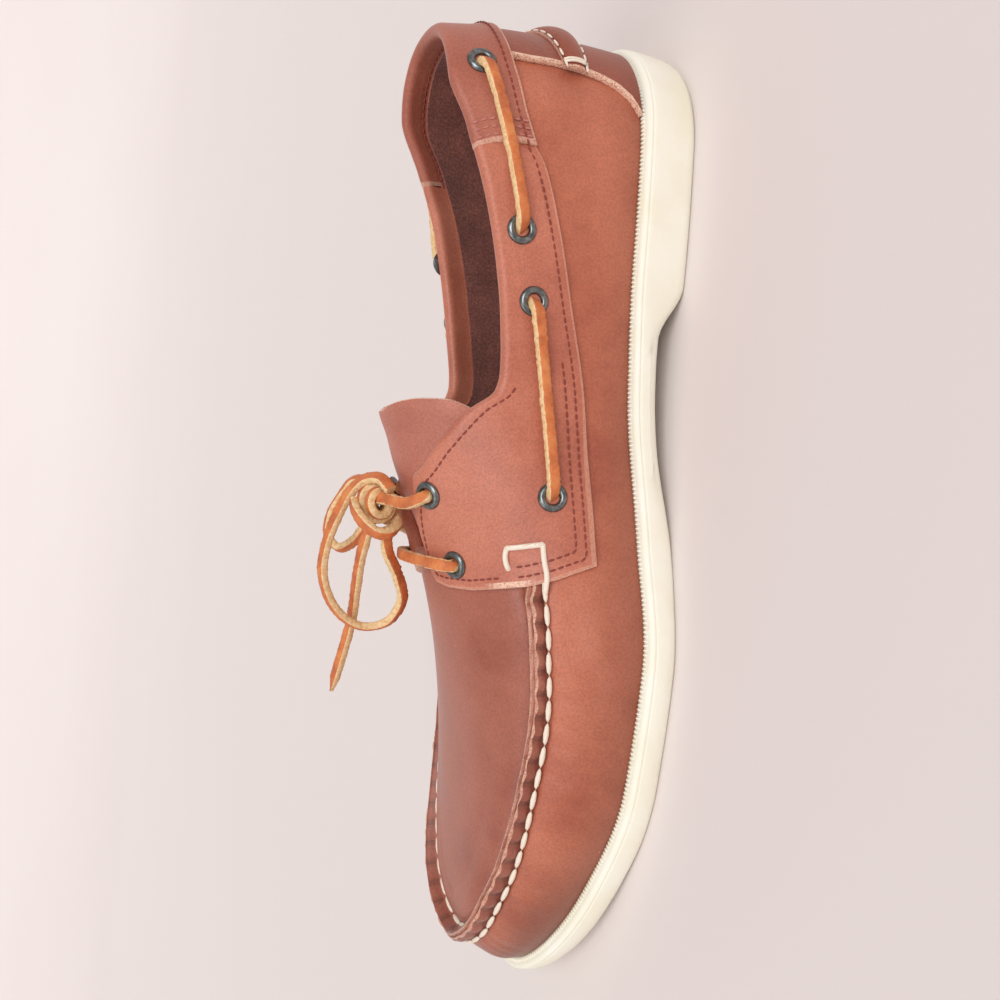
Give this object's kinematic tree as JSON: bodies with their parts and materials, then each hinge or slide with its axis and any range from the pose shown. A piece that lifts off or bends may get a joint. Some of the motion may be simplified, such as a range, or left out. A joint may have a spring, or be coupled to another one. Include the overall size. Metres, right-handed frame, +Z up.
{
  "type": "boat shoe",
  "caption": "Boat shoe for a left foot: hollow moccasin-front leather upper with a rawhide lace round the collar, on a moulded cup sole.",
  "frame": {"origin": "on the ground under the middle of the shoe's box, the bow left out of the measure", "axes": "+Z up; the toe points to -Y and the heel to +Y; +X is the lateral side, the little toe's"},
  "size_m": [0.106, 0.3002, 0.089],
  "materials": {
    "sole_rubber": "moulded, matt, ivory",
    "insole_leather": "brown lining leather",
    "upper_leather": "oiled full-grain, reddish brown, soft sheen",
    "tongue_leather": "oiled full-grain, reddish brown",
    "facing_leather": "oiled full-grain, reddish brown, pale cut edges",
    "heel_leather": "oiled full-grain, darker red brown",
    "lining_suede": "brushed suede side, dark red brown",
    "rawhide_lace": "square-cut rawhide, orange tan with pale cut sides",
    "seam_thread": "thick waxed cream thread, and fine tonal thread",
    "eyelet_metal": "rolled brass ring with a glossy gunmetal plating"
  },
  "bodies": {
    "root": {"outsole": "sole_rubber", "insole": "insole_leather", "upper": "upper_leather", "tongue": "tongue_leather", "facing_lateral": "facing_leather", "facing_medial": "facing_leather", "collar_wrap": "facing_leather", "heel_patch": "heel_leather", "heel_band": "heel_leather", "eyelet_lateral_1": "eyelet_metal", "eyelet_lateral_2": "eyelet_metal", "eyelet_lateral_3": "eyelet_metal", "eyelet_lateral_4": "eyelet_metal", "eyelet_lateral_5": "eyelet_metal", "eyelet_lateral_6": "eyelet_metal", "eyelet_medial_1": "eyelet_metal", "eyelet_medial_2": "eyelet_metal", "eyelet_medial_3": "eyelet_metal", "eyelet_medial_4": "eyelet_metal", "eyelet_medial_5": "eyelet_metal", "eyelet_medial_6": "eyelet_metal", "lace_bar_lateral_rear": "rawhide_lace", "lace_bar_lateral_front": "rawhide_lace", "lace_bar_medial_rear": "rawhide_lace", "lace_bar_medial_front": "rawhide_lace", "lace_crossing_front": "rawhide_lace", "lace_crossing_top": "rawhide_lace", "bow_knot": "rawhide_lace", "bow_loop_front": "rawhide_lace", "bow_loop_rear": "rawhide_lace", "lace_end_front": "rawhide_lace", "lace_end_side": "rawhide_lace"}
  },
  "joints": []
}
